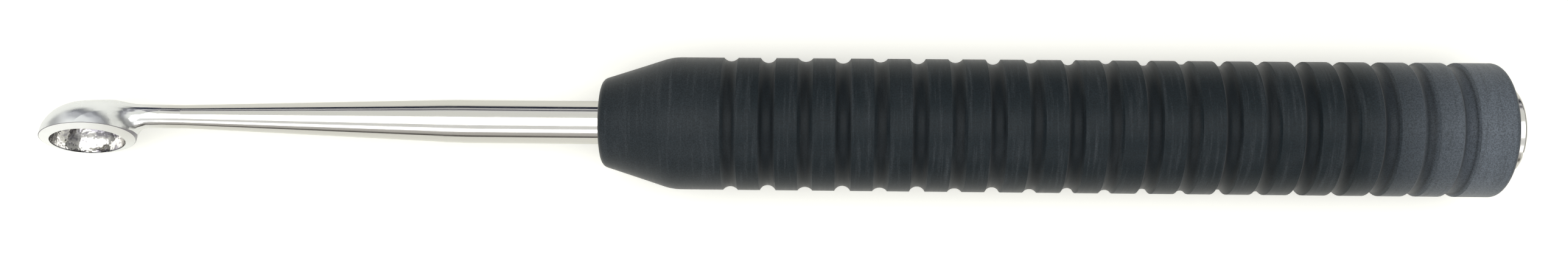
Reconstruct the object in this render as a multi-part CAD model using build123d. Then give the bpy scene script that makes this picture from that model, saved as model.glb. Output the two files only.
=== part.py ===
from build123d import *
import math
import os

# Cup curette, laid on a flat surface. Millimetres and degrees.
# +X runs from the cup to the butt of the handle, +Z is up, and the handle rests on Z = 0.
# Each piece is first drawn about the handle's axis, with X = 0 at the handle's front face
# and the cup opening upward. The steel is then rolled, and the whole laid down and centred.

# Cup
rim_diameter = 15.0
bevel_width = 1.65
bevel_height = 0.55
bevel_spare = 0.7
bowl_shoulder = 5.5
bowl_dish = 0.5
cavity_depth = 5.4
cup_reach = 86.4
rim_offset = 4.08
rim_pitch = 6.3
bowl_lean = 8.0
cup_roll = 70.3

# Shaft and neck
shaft_diameter = 7.2
shaft_exposed = 24.6
bend_land = 3.0
neck_diameter = 3.92
neck_length = 3.8
neck_overlap = 1.0
neck_blend = 80.0
neck_lift = 0.55

# The ridge that the neck makes on the bowl's back, and how softly it runs out there
ridge_diameter = 4.1
ridge_end = 4.2
root_blend = 3.0

# The fan of sections that the head's skin is drawn through. They turn about a line across the
# neck, placed from the rim's middle, until they lie level with the rim.
fan_reach = 11.5
fan_rise = 5.3
fan_sections = 13
fan_points = 12
fan_walk = 60

# Tang, hidden in the handle
shoulder_depth = 22.0
tang_diameter = 6.4
tang_flats = 5.4
tang_gap = 0.5
tang_chamfer = 0.4

# Handle
handle_diameter = 22.0
handle_length = 146.3
nose_diameter = 14.4
nose_rounding = 1.4
cone_length = 11.8
cone_blend = 8.5
butt_rounding = 0.9

# Ring grooves, shallow and deep by turns
groove_count = 20
groove_pitch = 6.17
first_groove = 21.4
shallow_width = 2.48
shallow_depth = 0.6
deep_width = 2.64
deep_depth = 0.84

# End screw
head_diameter = 14.3
head_edge = 2.35
head_crown = 1.85
head_rounding = 0.4
slot_width = 1.2
slot_depth = 2.2
slot_roll = 35.0
screw_diameter = 4.0
screw_length = 14.0
bore_spare = 2.0

# Clearances, each on the radius or on one side
bore_clearance = 0.05
thread_clearance = 0.05

# Places worked out from the sizes
bend_start = shaft_exposed - bend_land
bend_angle = math.degrees(math.atan(neck_lift / (cup_reach - bend_start)))
neck_run = (cup_reach - bend_start) / math.cos(math.radians(bend_angle))
tang_end = handle_length - tang_gap
bore_depth = screw_length - tang_gap + bore_spare
neck_plane = Plane(origin=(-bend_start, 0, 0), x_dir=(-1, 0, 0), z_dir=(0, -1, 0)).rotated((0, -bend_angle, 0))
mitre_plane = Plane(origin=(-bend_start, 0, 0), z_dir=(-1, 0, 0)).rotated((0, -bend_angle / 2, 0))
cup_plane = Plane(origin=(-cup_reach, 0, rim_offset)).rotated((0, rim_pitch, 0))
bowl_plane = cup_plane.offset(-bevel_height).rotated((0, bowl_lean, 0))
edge_radius = rim_diameter / 2 - bevel_width
bowl_depth = bowl_shoulder + bowl_dish
fan_line = cup_plane.from_local_coords(Vector(fan_reach, 0, fan_rise))
head_run = neck_plane.to_local_coords(fan_line).X


def rod(start, end, radius):
    """A straight round bar along the handle's axis."""
    return extrude(Plane.YZ.offset(start) * Circle(radius), end - start)


def corner(face, x, radius):
    """The corner of a flat outline nearest to a point."""
    return face.vertices().sort_by_distance((x, radius))[0]


def shaft():
    """The bare straight bar, mitred where the neck's axis bends away from it."""
    return split(rod(-shaft_exposed, 0, shaft_diameter / 2), mitre_plane, keep=Keep.BOTTOM)


def taper():
    """The long taper, turned about the slightly bent-down axis. Its thin end is sunk into the neck."""
    waist, wide, narrow = head_run - neck_length, shaft_diameter / 2, neck_diameter / 2
    sunk = neck_overlap * (wide - narrow) / (waist - bend_land)
    start, land, end = (-bend_land, wide), (bend_land, wide), (waist + neck_overlap, narrow - sunk)
    profile = make_face(Polyline((-bend_land, 0), start, land, end, (waist + neck_overlap, 0), close=True))
    profile = fillet(corner(profile, *land), neck_blend)
    return split(neck_plane.location * revolve(profile, Axis.X), mitre_plane, keep=Keep.TOP)


def bowl_distance(point):
    """How far a point lies outside the bowl: a shallow ball, a rounder shoulder and a straight wall."""
    radius, inset = rim_diameter / 2, rim_diameter / 2 - bowl_shoulder
    ball = (inset**2 + bowl_depth**2 - bowl_shoulder**2) / (2 * bowl_dish)
    place = bowl_plane.to_local_coords(point)
    out, up = math.hypot(place.X, place.Y), place.Z
    if up > 0:
        return out - radius
    if (out - inset) * (ball - bowl_depth) > -up * inset:
        return math.hypot(out - inset, up) - bowl_shoulder
    return math.hypot(out, up - (ball - bowl_depth)) - ball


def neck_distance(point):
    """How far a point lies outside the neck, which thickens to a round-ended ridge."""
    place = neck_plane.to_local_coords(point)
    end = neck_run - ridge_end
    grown = min(1, max(0, 1 + (place.X - end) / (end - head_run)))
    radius = (neck_diameter + (ridge_diameter - neck_diameter) * grown**2) / 2
    return math.hypot(place.Y, place.Z, max(0, place.X - end)) - radius


def head_distance(point):
    """How far a point lies outside the bowl and neck, run softly into each other."""
    bowl, neck = bowl_distance(point), neck_distance(point)
    shared = max(0, 1 - abs(bowl - neck) / root_blend)
    return min(bowl, neck) - root_blend * shared**2 / 4


def skin_point(outside, inside):
    """Where the line from a point outside the head to one inside it meets the skin."""
    way = (inside - outside).normalized()
    point = outside
    for _ in range(fan_walk):
        point += way * head_distance(point)
    return point


def fan_section(angle):
    """The head's outline in the fan's plane at this angle from straight down, in four quarters."""
    down = Vector(-math.sin(math.radians(angle)), 0, -math.cos(math.radians(angle)))
    side = Vector(0, 1, 0)
    far = fan_line + down * (fan_reach + fan_rise + rim_diameter)
    middle = (skin_point(fan_line, far) + skin_point(far, fan_line)) / 2
    loop = []
    for i in range(2 * fan_points + 1):
        turn = math.pi * i / fan_points
        spoke = down * math.cos(turn) + side * math.sin(turn)
        loop.append(skin_point(middle + spoke * rim_diameter, middle))
    back = side * math.pi * (loop[0] - middle).length
    heel = side * -math.pi * (loop[fan_points] - middle).length
    marks = [i / fan_points for i in range(fan_points + 1)]
    halves = [
        Edge.make_spline(loop[: fan_points + 1], [back, heel], False, marks, False),
        Edge.make_spline(loop[fan_points:], [heel, back], False, marks, False),
    ]
    return Wire([half.trim(*part) for half in halves for part in ((0, 0.5), (0.5, 1))])


def head():
    """The outside of cup and neck end as one smooth skin, reaching over the rim."""
    start, end = 90 - rim_pitch, -bend_angle
    step = (end - start) / (fan_sections - 1)
    return Solid.make_loft([fan_section(start + i * step) for i in range(fan_sections)])


def above_rim():
    """What is ground off over the rim: down to a bevel round the cutting edge."""
    wide = rim_diameter / 2 + bevel_spare
    drop = bevel_height * (wide - edge_radius) / bevel_width
    over = 2 * rim_diameter
    inner, outer = (edge_radius, 0), (wide, -drop)
    outline = Polyline((0, 0), inner, outer, (over, -drop), (over, over), (0, over), close=True)
    return cup_plane.location * revolve(Plane.XZ * make_face(outline), Axis.Z)


def cavity():
    """The inside of the cup, a part of a ball that meets the rim at the cutting edge."""
    ball = (edge_radius**2 + cavity_depth**2) / (2 * cavity_depth)
    return cup_plane.location * (Pos(0, 0, ball - cavity_depth) * Sphere(ball))


def cup_and_neck():
    """The head with a straight neck drawn out of its end, ground to its bevel and hollowed."""
    body = head()
    neck_end = body.faces().sort_by(Axis.X)[-1]
    return body + extrude(neck_end, neck_length + neck_overlap) - above_rim() - cavity()


def tang():
    """The stepped bar inside the handle, with two flats against turning and a bore for the screw."""
    shank = rod(0, shoulder_depth, shaft_diameter / 2)
    bar = rod(shoulder_depth, tang_end, tang_diameter / 2)
    bar = chamfer(bar.edges().sort_by(Axis.X)[-1], tang_chamfer)
    bar &= Pos((shoulder_depth + tang_end) / 2, 0, 0) * Box(tang_end - shoulder_depth, tang_diameter, tang_flats)
    bore = rod(tang_end - bore_depth, tang_end, screw_diameter / 2 + thread_clearance)
    return shank + bar - bore


def curette():
    """The steel piece, from cup to tang, rolled to the way the cup lies."""
    return Rot(cup_roll, 0, 0) * (cup_and_neck() + taper() + shaft() + tang())


def groove_arc(centre, width, depth, radius):
    """One groove's round bottom, from edge to edge."""
    return ThreePointArc((centre - width / 2, radius), (centre, radius - depth), (centre + width / 2, radius))


def handle_outline():
    """Half of the handle's long section: coned nose, ring grooves and rounded butt."""
    radius, nose = handle_diameter / 2, nose_diameter / 2
    edges = [Line((0, 0), (0, nose)), Line((0, nose), (cone_length, radius))]
    at = cone_length
    for i in range(groove_count):
        width, depth = (deep_width, deep_depth) if i % 2 else (shallow_width, shallow_depth)
        centre = first_groove + i * groove_pitch
        edges.append(Line((at, radius), (centre - width / 2, radius)))
        edges.append(groove_arc(centre, width, depth, radius))
        at = centre + width / 2
    edges.append(Line((at, radius), (handle_length, radius)))
    edges.append(Line((handle_length, radius), (handle_length, 0)))
    edges.append(Line((handle_length, 0), (0, 0)))
    return edges


def handle():
    """The moulded sleeve, with a bore that follows the tang."""
    face = make_face(handle_outline())
    face = fillet(corner(face, 0, nose_diameter / 2), nose_rounding)
    face = fillet(corner(face, cone_length, handle_diameter / 2), cone_blend)
    face = fillet(corner(face, handle_length, handle_diameter / 2), butt_rounding)
    sleeve = revolve(face, Axis.X)
    mouth = rod(0, shoulder_depth, shaft_diameter / 2 + bore_clearance)
    channel = rod(shoulder_depth, handle_length, tang_diameter / 2 + bore_clearance)
    run = handle_length - shoulder_depth
    across = tang_flats + 2 * bore_clearance
    channel &= Pos(shoulder_depth + run / 2, 0, 0) * Box(run, handle_diameter, across)
    return sleeve - Rot(cup_roll, 0, 0) * (mouth + channel)


def end_screw():
    """The domed, slotted screw that closes the butt and holds the handle on."""
    radius, height = head_diameter / 2, head_edge + head_crown
    ball = (radius**2 + head_crown**2) / (2 * head_crown)
    spread = math.degrees(math.asin(radius / ball))
    crown = CenterArc((height - ball, 0), ball, 0, spread)
    rim = [Line((0, 0), (0, radius)), Line((0, radius), (head_edge, radius))]
    face = make_face(Wire([*rim, crown, Line((height, 0), (0, 0))]))
    face = fillet(corner(face, head_edge, radius), head_rounding)
    slot = Pos(height, 0, 0) * Box(2 * slot_depth, slot_width, 2 * head_diameter)
    dome = revolve(face, Axis.X) - Rot(slot_roll, 0, 0) * slot
    shank = rod(-screw_length, 0, screw_diameter / 2)
    shank = chamfer(shank.edges().sort_by(Axis.X)[0], tang_chamfer)
    return Pos(handle_length, 0, 0) * (dome + shank)


def main():
    pieces = {"curette": curette(), "handle_grip": handle(), "end_screw": end_screw()}
    boxes = [piece.bounding_box() for piece in pieces.values()]
    middle = (min(box.min.X for box in boxes) + max(box.max.X for box in boxes)) / 2
    lay_down = Pos(-middle, 0, handle_diameter / 2)
    os.makedirs("parts", exist_ok=True)
    for name, piece in pieces.items():
        export_step(lay_down * piece, f"parts/{name}.step")


main()
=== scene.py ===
import math
import bpy
from mathutils import Matrix, Vector


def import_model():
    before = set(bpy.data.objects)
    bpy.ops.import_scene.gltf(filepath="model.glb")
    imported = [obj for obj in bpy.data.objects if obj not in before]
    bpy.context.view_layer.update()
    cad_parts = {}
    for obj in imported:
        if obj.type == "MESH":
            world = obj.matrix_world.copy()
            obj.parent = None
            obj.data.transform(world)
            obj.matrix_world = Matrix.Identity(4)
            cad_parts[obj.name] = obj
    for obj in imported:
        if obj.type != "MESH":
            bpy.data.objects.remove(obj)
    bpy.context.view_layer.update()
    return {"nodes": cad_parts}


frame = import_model()
nodes = frame["nodes"]

# The camera, from the photograph's perspective: pixels, a sensor in mm, then metres and radians
image_width, sensor_width = 2576, 36
focal_pixels = 2450.0
nearest_seen = 0.01
camera_distance = 0.2477
axis_height = 0.011
aim_x, aim_y = 0.00187, 0.00205
turn, tilt = math.radians(1.6), 0.00887

# Colours
steel_colour = (0.63, 0.62, 0.60, 1)
satin_colour = (0.83, 0.85, 0.875, 1)
# A near-white tone for the ground bevel: its ground finish, put only on its upward part as a painted
# highlight
ground_and_highlight_colour = (0.97, 0.98, 0.98, 1)
# A painted dark line of shade just inside the cutting edge
edge_shade_colour = (0.10, 0.10, 0.11, 1)
# Tarnish in the cup, also used for painted shade deep in it and at the bevel's outer edge
tarnish_and_shade_colour = (0.27, 0.26, 0.285, 1)
rubber_colour = (0.0065, 0.0112, 0.0145, 1)
# Painted shade on the groove floors
groove_shade_colour = (0.003, 0.006, 0.0085, 1)
# Painted shade in the creases of the groove walls
crease_shade_colour = (0.002, 0.003, 0.004, 1)
dust_colour = (0.045, 0.052, 0.058, 1)
# A painted sheen on the butt end: on the lands, and dimmer in the grooves
butt_sheen_colour = (0.095, 0.110, 0.128, 1)
groove_sheen_colour = (0.055, 0.065, 0.078, 1)
paper_colour = (0.945, 0.94, 0.86, 1)
white = (1, 1, 1, 1)

# The floor, the even light, and how much the floor adds for the camera's eye
floor_size = 4
floor_lift = 0.27
paper_roughness = 0.9
even_light = 0.4

# How far a mesh's facets may lie off the true surface
facet_spare = 0.0001

# The cup: its rim plane, ground bevel and cavity
rim_middle = (-0.114706, -0.003841, 0.012375)
rim_normal = (0.109734, -0.935785, 0.33506)
bevel_inside, bevel_outside = 0.0058, 0.0080
bevel_depth = 0.00075
bevel_facing = 0.8
# The bevel's near-white tone goes only where its normal points up: a painted highlight on its top
# side
bevel_highlight_from, bevel_highlight_to = 0.05, 0.3
# The rim's radius, and the width of a painted dark line of shade at the bevel's outer edge
rim_radius, rim_shade_line = 0.0075, 0.00012
# The width of the painted dark line of shade inside the cutting edge
edge_shade_line = 0.00026
cavity_middle = (-0.114655, -0.00428, 0.012532)
cavity_radius = 0.00587

# How the steel's finish changes along the head, from the rim's middle towards the neck
satin_from, satin_to = rim_middle[0] + 0.0068, rim_middle[0] + 0.0088
pale_from, pale_to = rim_middle[0] + 0.004, rim_middle[0] + 0.014
dulled_from, dulled_to, dulled_most = rim_middle[0] + 0.002, rim_middle[0] + 0.007, 0.6
neckward_from, neckward_to, neckward_most = rim_middle[0] + 0.0005, rim_middle[0] + 0.004, 0.1

# Finishes of the steel, and how the painted shade deep in the cup, with its tarnish, follows its
# depth below the rim
shaft_roughness, screw_roughness, patch_roughness = 0.09, 0.13, 0.06
drawn_scale, drawn_strength, drawn_depth = 900.0, 0.025, 0.0001
all_ways, drawn_along_shaft = (1, 1, 1), (0.03, 1, 1)
patch_scale, patch_from, patch_to = 160.0, 0.35, 0.7
head_satin, bevel_satin = 0.17, 0.3
ripple_scale, ripple_strength, ripple_depth = 330.0, 0.5, 0.0006
deepest, shallowest = -0.0050, -0.0015
deepest_shade, shallowest_shade = 0.16, -0.05
shade_and_tarnish_from, shade_and_tarnish_to = 0.45, 0.55

# The handle's axis, its grooves and its ends
handle_radius = axis_height
groove_floor = 0.0102
cone_end = -0.0165
nose_from, nose_to, nose_dust = -0.003, -0.012, 0.22
# Where the painted sheen on the butt end grows
butt_sheen_from, butt_sheen_to = 0.094, 0.113
butt_face = 0.118
# The painted sheen fades just short of the butt face, leaving a painted dark outline along the end
sheen_end_from, sheen_end_to, butt_face_sheen = butt_face - 0.0010, butt_face - 0.0001, 0.35

# Finishes of the rubber, where land is 1 between the grooves and 0 on their floors
ring_scale, ring_stretch = 1500.0, (1, 0.06, 0.06)
smear_scale, smear_stretch = 220.0, (1, 0.3, 0.3)
speck_scale = 4800.0
# Where the painted shade in the groove walls' creases lies, how wide it is, and how dark
crease_land, crease_width, crease_shade_most = 0.4, 0.35, 0.55
streak_from, streak_to, streak_most = 0.5, 0.75, 0.5
smear_from, smear_to, smear_most = 0.55, 0.8, 0.25
grain_from, grain_to, grain_dark, grain_pale = 0.35, 0.65, 0.7, 1.35
ring_from, ring_to = 0.3, 0.7
rubber_smooth, rubber_rough = 0.36, 0.48
rubber_specular = 0.12
sheen_weight, sheen_roughness = 0.12, 0.5
mould_strength, mould_depth = 0.12, 0.0001

# Soft rectangular lamps: name, place, size, power, and the point each one faces
lamps = (
    ("top", (-0.05, 0.02, 0.61), (1.1, 0.44), 3.3, (-0.05, 0.02, 0)),
    ("near", (-0.05, -0.60, 0.54), (1.1, 0.24), 1.5, (-0.05, 0, 0.01)),
)

# What polished steel sees round its long axis: degrees from straight up, towards +Y, and a tone
surround_tones = (
    (-110, (0.95, 0.95, 0.93)),
    (-98, (0.80, 0.80, 0.76)),
    (-95, (0.12, 0.11, 0.10)),
    (-82, (0.14, 0.13, 0.12)),
    (-78, (0.60, 0.58, 0.54)),
    (-62, (0.66, 0.64, 0.60)),
    (-59, (0.95, 0.95, 0.93)),
    (50, (0.97, 0.98, 0.92)),
    (54, (1.00, 1.00, 0.98)),
    (60, (1.00, 1.00, 0.98)),
    (62, (0.08, 0.08, 0.11)),
    (68, (0.08, 0.08, 0.11)),
    (70, (1.00, 1.00, 1.00)),
    (74, (1.00, 1.00, 1.00)),
    (76, (0.03, 0.035, 0.06)),
    (94, (0.03, 0.035, 0.06)),
    (97, (0.80, 0.80, 0.78)),
)
# The surround dims towards the ends of the axis, and has one tone beyond the head
ends_from, ends_to, ends_tone = 0.62, 0.85, 0.42
head_end_from, head_end_to = -0.6, -0.45
head_end_tone = (0.85, 0.85, 0.82, 1)


class Shader:
    """The node tree of a material or world, and short ways to add nodes to it."""

    def __init__(self, owner):
        owner.use_nodes = True
        self.owner = owner
        self.tree = owner.node_tree
        self.surface = self.tree.nodes.get("Principled BSDF")

    def add(self, kind, links=None, **values):
        node = self.tree.nodes.new(kind)
        for key, value in values.items():
            setattr(node, key, value)
        for socket, source in (links or {}).items():
            if hasattr(source, "is_output"):
                self.tree.links.new(source, node.inputs[socket])
            else:
                node.inputs[socket].default_value = source
        return node

    def drive(self, socket, source):
        self.tree.links.new(source, self.surface.inputs[socket])


def stretched_noise(shader, stretch, scale, detail=4.0, rough=0.6):
    """Noise in the part's own coordinates, drawn out along some axes."""
    place = shader.add("ShaderNodeTexCoord").outputs["Object"]
    mapped = shader.add("ShaderNodeMapping", {"Vector": place, "Scale": stretch}).outputs["Vector"]
    links = {"Vector": mapped, "Scale": scale, "Detail": detail, "Roughness": rough}
    return shader.add("ShaderNodeTexNoise", links).outputs["Fac"]


def spread(shader, value, low, high, to_low=0.0, to_high=1.0):
    """A value mapped from one range to another, and kept inside it."""
    links = {"Value": value, "From Min": low, "From Max": high, "To Min": to_low, "To Max": to_high}
    return shader.add("ShaderNodeMapRange", links).outputs["Result"]


def calculate(shader, operation, first, second=0.0):
    return shader.add("ShaderNodeMath", {0: first, 1: second}, operation=operation).outputs["Value"]


def vector_math(shader, operation, first, second=(0, 0, 0), output="Vector"):
    node = shader.add("ShaderNodeVectorMath", {0: first, 1: second}, operation=operation)
    return node.outputs[output]


def own_place(shader):
    """A point in the part's own coordinates, and how far along the handle's axis it lies."""
    place = shader.add("ShaderNodeTexCoord").outputs["Object"]
    return place, shader.add("ShaderNodeSeparateXYZ", {"Vector": place}).outputs["X"]


def distance_from(shader, place, centre, weights=(1, 1, 1)):
    """How far a point is from a centre, along the axes that have a weight."""
    offset = vector_math(shader, "SUBTRACT", place, centre)
    kept = vector_math(shader, "MULTIPLY", offset, weights)
    return vector_math(shader, "LENGTH", kept, output="Value")


def blend_colours(shader, factor, low, high):
    """A colour between two, given as colours or sockets."""
    mix = shader.add("ShaderNodeMix", data_type="RGBA")
    for socket, source in ((mix.inputs[0], factor), (mix.inputs[6], low), (mix.inputs[7], high)):
        if hasattr(source, "is_output"):
            shader.tree.links.new(source, socket)
        else:
            socket.default_value = source
    return mix.outputs[2]


def steel(name, roughness, grain):
    """Hand-polished stainless steel with faint drawn lines and a few worn patches."""
    shader = Shader(bpy.data.materials.new(name))
    lines = stretched_noise(shader, grain, drawn_scale)
    patches = stretched_noise(shader, all_ways, patch_scale, detail=3.0)
    shader.surface.inputs["Base Color"].default_value = steel_colour
    shader.surface.inputs["Metallic"].default_value = 1.0
    worn = spread(shader, patches, patch_from, patch_to, roughness, roughness + patch_roughness)
    shader.drive("Roughness", worn)
    bump = {"Height": lines, "Strength": drawn_strength, "Distance": drawn_depth}
    shader.drive("Normal", shader.add("ShaderNodeBump", bump).outputs["Normal"])
    return shader


def rim_depth(shader, place):
    """How far a point lies out of the cup's rim plane."""
    offset = vector_math(shader, "SUBTRACT", place, rim_middle)
    return vector_math(shader, "DOT_PRODUCT", offset, rim_normal, "Value")


def bevel_and_highlight_mask(shader, depth, away):
    """1 on the upward part of the cup's ground bevel, and 0 elsewhere; its near-white tone only on
    that top side is a painted highlight.
    """
    normal = shader.add("ShaderNodeNewGeometry").outputs["True Normal"]
    facing = vector_math(shader, "DOT_PRODUCT", normal, rim_normal, "Value")
    up = shader.add("ShaderNodeSeparateXYZ", {"Vector": normal}).outputs["Z"]
    mask = spread(shader, up, bevel_highlight_from, bevel_highlight_to)
    for value, operation, limit in (
        (depth, "GREATER_THAN", -bevel_depth),
        (away, "GREATER_THAN", bevel_inside),
        (away, "LESS_THAN", bevel_outside),
        (facing, "GREATER_THAN", bevel_facing),
    ):
        mask = calculate(shader, "MULTIPLY", mask, calculate(shader, operation, value, limit))
    return mask


def shade_and_tarnish_mask(shader, along, depth, ripples):
    """1 where the cup's inside is darkened: painted shade mostly deep down, tarnish in patches, and
    a little more towards the neck.
    """
    # The deeper, the darker: painted shade of the hollow
    deeper_shade = spread(shader, depth, deepest, shallowest, deepest_shade, shallowest_shade)
    neckward = spread(shader, along, neckward_from, neckward_to, 0, neckward_most)
    darkening = calculate(shader, "ADD", calculate(shader, "ADD", ripples, deeper_shade), neckward)
    return spread(shader, darkening, shade_and_tarnish_from, shade_and_tarnish_to)


def ground_tone(shader, along, away):
    """The bevel's colour: dulled towards the neck, with a painted dark line of shade at its outer
    edge.
    """
    dulled = spread(shader, along, dulled_from, dulled_to, 0, dulled_most)
    ground = blend_colours(shader, dulled, ground_and_highlight_colour, steel_colour)
    # A painted dark line of shade along the bevel's outer edge, in the tarnish colour
    rim_shade = calculate(shader, "GREATER_THAN", away, rim_radius - rim_shade_line)
    return blend_colours(shader, rim_shade, ground, tarnish_and_shade_colour)


def head_tone(shader, along, depth, ripples, inside):
    """Polished steel, paler outside at the head; inside the cup tarnish with painted shade deep
    down, and a painted dark line of shade at the cutting edge.
    """
    outside = calculate(shader, "SUBTRACT", 1.0, inside)
    pale = calculate(shader, "MULTIPLY", spread(shader, along, pale_from, pale_to, 1, 0), outside)
    tone = blend_colours(shader, pale, steel_colour, satin_colour)
    shade_and_tarnish = calculate(shader, "MULTIPLY", inside, shade_and_tarnish_mask(shader, along, depth, ripples))
    tone = blend_colours(shader, shade_and_tarnish, tone, tarnish_and_shade_colour)
    # A painted dark line of shade on the cup's inside wall just below the rim
    edge_shade = calculate(shader, "MULTIPLY", inside, spread(shader, depth, -edge_shade_line, -edge_shade_line / 2))
    return blend_colours(shader, edge_shade, tone, edge_shade_colour)


def roughen_head(shader, along, inside, bevel_and_highlight):
    """Adds a satin finish outside the cup, and a ground one on its bevel, to the polish."""
    polished = shader.surface.inputs["Roughness"].links[0].from_socket
    outside = calculate(shader, "SUBTRACT", 1.0, inside)
    satin = spread(shader, along, satin_from, satin_to, head_satin, 0)
    satin = calculate(shader, "MULTIPLY", satin, outside)
    ground = calculate(shader, "MULTIPLY", bevel_and_highlight, bevel_satin)
    rough = calculate(shader, "ADD", calculate(shader, "ADD", polished, satin), ground)
    shader.drive("Roughness", rough)


def ripple_cup(shader, ripples, inside):
    """Adds the ripples of hand polishing inside the cup to the drawn lines."""
    drawn = shader.surface.inputs["Normal"].links[0].from_socket
    strength = calculate(shader, "MULTIPLY", inside, ripple_strength)
    bump = {"Height": ripples, "Strength": strength, "Distance": ripple_depth, "Normal": drawn}
    shader.drive("Normal", shader.add("ShaderNodeBump", bump).outputs["Normal"])


def curette_steel():
    """The steel of the shaft, neck and cup, which has a bright ground bevel round its rim, painted
    brighter on its top side as a painted highlight; painted shade inside the cup and along its
    edges.
    """
    shader = steel("polished_steel", shaft_roughness, drawn_along_shaft)
    place, along = own_place(shader)
    depth = rim_depth(shader, place)
    away = distance_from(shader, place, rim_middle)
    from_cavity = distance_from(shader, place, cavity_middle)
    inside = calculate(shader, "LESS_THAN", from_cavity, cavity_radius + facet_spare)
    bevel_and_highlight = bevel_and_highlight_mask(shader, depth, away)
    ripples = stretched_noise(shader, all_ways, ripple_scale, detail=3.0)

    tone = head_tone(shader, along, depth, ripples, inside)
    tone = blend_colours(shader, bevel_and_highlight, tone, ground_tone(shader, along, away))
    shader.drive("Base Color", tone)
    roughen_head(shader, along, inside, bevel_and_highlight)
    ripple_cup(shader, ripples, inside)
    return shader


def rubber_tone(shader, along, land):
    """The rubber's colour with its dusty nose, plus a painted sheen on the butt end and painted
    shade in the grooves and creases.
    """
    # A painted sheen on the butt end, fading just short of the butt face
    short_of_butt = spread(shader, along, sheen_end_from, sheen_end_to, 1, butt_face_sheen)
    butt_sheen = calculate(shader, "MULTIPLY", spread(shader, along, butt_sheen_from, butt_sheen_to), short_of_butt)
    nose = spread(shader, along, nose_from, nose_to, 0, nose_dust)
    on_land = blend_colours(shader, nose, rubber_colour, dust_colour)
    on_land = blend_colours(shader, butt_sheen, on_land, butt_sheen_colour)
    in_groove = blend_colours(shader, butt_sheen, groove_shade_colour, groove_sheen_colour)
    # The groove floors take the painted shade, the lands their own colour
    tone = blend_colours(shader, land, in_groove, on_land)
    # Painted shade along the groove walls
    off_crease = calculate(shader, "ABSOLUTE", calculate(shader, "SUBTRACT", land, crease_land))
    crease_shade = spread(shader, off_crease, 0.0, crease_width, crease_shade_most, 0.0)
    return blend_colours(shader, crease_shade, tone, crease_shade_colour)


def dusted(shader, tone, land, rings, smears):
    """Dust on a tone: in fine streaks between the grooves, and in wider smears all over."""
    streaks = spread(shader, rings, streak_from, streak_to, 0.0, streak_most)
    streaks = calculate(shader, "MULTIPLY", land, streaks)
    tone = blend_colours(shader, streaks, tone, dust_colour)
    smeared = spread(shader, smears, smear_from, smear_to, 0.0, smear_most)
    return blend_colours(shader, smeared, tone, dust_colour)


def rubber():
    """Dark blue-grey silicone: matt, with fine grain, fine rings from its mould and some dust."""
    shader = Shader(bpy.data.materials.new("black_silicone"))
    place, along = own_place(shader)
    radius = distance_from(shader, place, (0, 0, handle_radius), (0, 1, 1))
    land = spread(shader, radius, groove_floor, handle_radius - facet_spare)
    land = calculate(shader, "MAXIMUM", land, calculate(shader, "LESS_THAN", along, cone_end))
    rings = stretched_noise(shader, ring_stretch, ring_scale)
    specks = stretched_noise(shader, all_ways, speck_scale, detail=2.0)
    smears = stretched_noise(shader, smear_stretch, smear_scale, detail=5.0)

    tone = dusted(shader, rubber_tone(shader, along, land), land, rings, smears)
    grain = spread(shader, specks, grain_from, grain_to, grain_dark, grain_pale)
    tone = shader.add("ShaderNodeVectorMath", {0: tone, "Scale": grain}, operation="SCALE")
    shader.drive("Base Color", tone.outputs["Vector"])
    shader.surface.inputs["Sheen Weight"].default_value = sheen_weight
    shader.surface.inputs["Sheen Roughness"].default_value = sheen_roughness
    shader.surface.inputs["Specular IOR Level"].default_value = rubber_specular
    shader.drive("Roughness", spread(shader, rings, ring_from, ring_to, rubber_smooth, rubber_rough))
    height = calculate(shader, "ADD", rings, specks)
    bump = {"Height": height, "Strength": mould_strength, "Distance": mould_depth}
    shader.drive("Normal", shader.add("ShaderNodeBump", bump).outputs["Normal"])
    return shader


def dress(node, shader):
    piece = nodes[node]
    piece.data.materials.clear()
    piece.data.materials.append(shader.owner)


def white_floor():
    """A pale sheet that looks white to the camera and takes the soft shadow."""
    bpy.ops.mesh.primitive_plane_add(size=floor_size, location=(0, 0, 0))
    floor = bpy.context.object
    floor.name = "floor"
    shader = Shader(bpy.data.materials.new("paper"))
    shader.surface.inputs["Base Color"].default_value = paper_colour
    shader.surface.inputs["Roughness"].default_value = paper_roughness
    shader.surface.inputs["Emission Color"].default_value = white
    seen = shader.add("ShaderNodeLightPath").outputs["Is Camera Ray"]
    shader.drive("Emission Strength", spread(shader, seen, 0, 1, 0, floor_lift))
    floor.data.materials.append(shader.owner)


def lamp(name, place, size, power, target):
    """A soft rectangular lamp that faces its target."""
    data = bpy.data.lights.new(name, "AREA")
    data.shape = "RECTANGLE"
    data.size, data.size_y = size
    data.energy = power
    light = bpy.data.objects.new(name, data)
    light.location = place
    light.rotation_euler = (Vector(target) - Vector(place)).to_track_quat("-Z", "Y").to_euler()
    bpy.context.scene.collection.objects.link(light)


def camera():
    """Looks straight down, a little turned so that the butt is nearer."""
    right = Vector((math.cos(turn) * math.cos(tilt), -math.sin(tilt), math.sin(turn))).normalized()
    back = Vector((-math.sin(turn), 0, math.cos(turn)))
    back = (back - right * back.dot(right)).normalized()
    up = back.cross(right)
    to_camera = Matrix((right, up, back)).transposed()
    origin = Vector((0, aim_y, -camera_distance))
    data = bpy.data.cameras.new("camera")
    data.sensor_fit = "HORIZONTAL"
    data.sensor_width = sensor_width
    data.lens = sensor_width * focal_pixels / image_width
    data.clip_start = nearest_seen
    view = bpy.data.objects.new("camera", data)
    place = to_camera.transposed() @ -origin
    basis = to_camera.transposed().to_4x4()
    basis.translation = place + Vector((aim_x, 0, axis_height))
    view.matrix_world = basis
    bpy.context.scene.collection.objects.link(view)
    bpy.context.scene.camera = view


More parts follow.
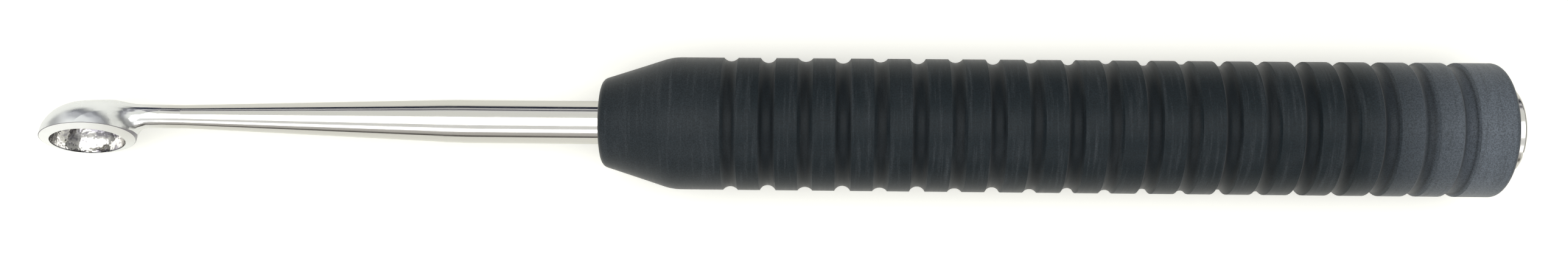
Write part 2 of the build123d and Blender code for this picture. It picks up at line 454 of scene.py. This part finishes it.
def mirrored_surround(shader):
    """The bands that polished steel mirrors round its long axis, dimmer beyond its ends."""
    direction = shader.add("ShaderNodeTexCoord").outputs["Generated"]
    parts = shader.add("ShaderNodeSeparateXYZ", {"Vector": direction}).outputs
    round_axis = calculate(shader, "ARCTAN2", parts["Y"], parts["Z"])
    ramp = shader.add("ShaderNodeValToRGB", {"Fac": spread(shader, round_axis, -math.pi, math.pi)})
    # A new ramp has two stops already
    stops = ramp.color_ramp.elements
    for i, (angle, tone) in enumerate(surround_tones):
        stop = stops[i] if i < 2 else stops.new(1)
        stop.position = 0.5 + angle / 360
        stop.color = (*tone, 1)
    closed = spread(shader, parts["X"], head_end_from, head_end_to)
    tones = blend_colours(shader, closed, head_end_tone, ramp.outputs["Color"])
    along = calculate(shader, "ABSOLUTE", parts["X"])
    ends = spread(shader, along, ends_from, ends_to, 1, ends_tone)
    return shader.add("ShaderNodeBackground", {"Color": tones, "Strength": ends})


def world():
    """White to the camera, an even pale light on the object, and bands for polished steel."""
    shader = Shader(bpy.data.worlds.new("surround"))
    mirrored = mirrored_surround(shader)
    even = shader.tree.nodes["Background"]
    even.inputs["Color"].default_value = white
    even.inputs["Strength"].default_value = even_light
    bright = shader.add("ShaderNodeBackground", {"Color": white, "Strength": 1})
    path = shader.add("ShaderNodeLightPath").outputs
    links = {0: path["Is Glossy Ray"], 1: even.outputs[0], 2: mirrored.outputs[0]}
    lit = shader.add("ShaderNodeMixShader", links)
    links = {0: path["Is Camera Ray"], 1: lit.outputs[0], 2: bright.outputs[0]}
    seen = shader.add("ShaderNodeMixShader", links)
    out = shader.tree.nodes["World Output"]
    shader.tree.links.new(seen.outputs[0], out.inputs["Surface"])
    bpy.context.scene.world = shader.owner


dress("curette", curette_steel())
dress("end_screw", steel("screw_steel", screw_roughness, all_ways))
dress("handle_grip", rubber())
white_floor()
for name, place, size, power, target in lamps:
    lamp(name, place, size, power, target)
camera()
world()
bpy.context.scene.view_settings.view_transform = "Standard"
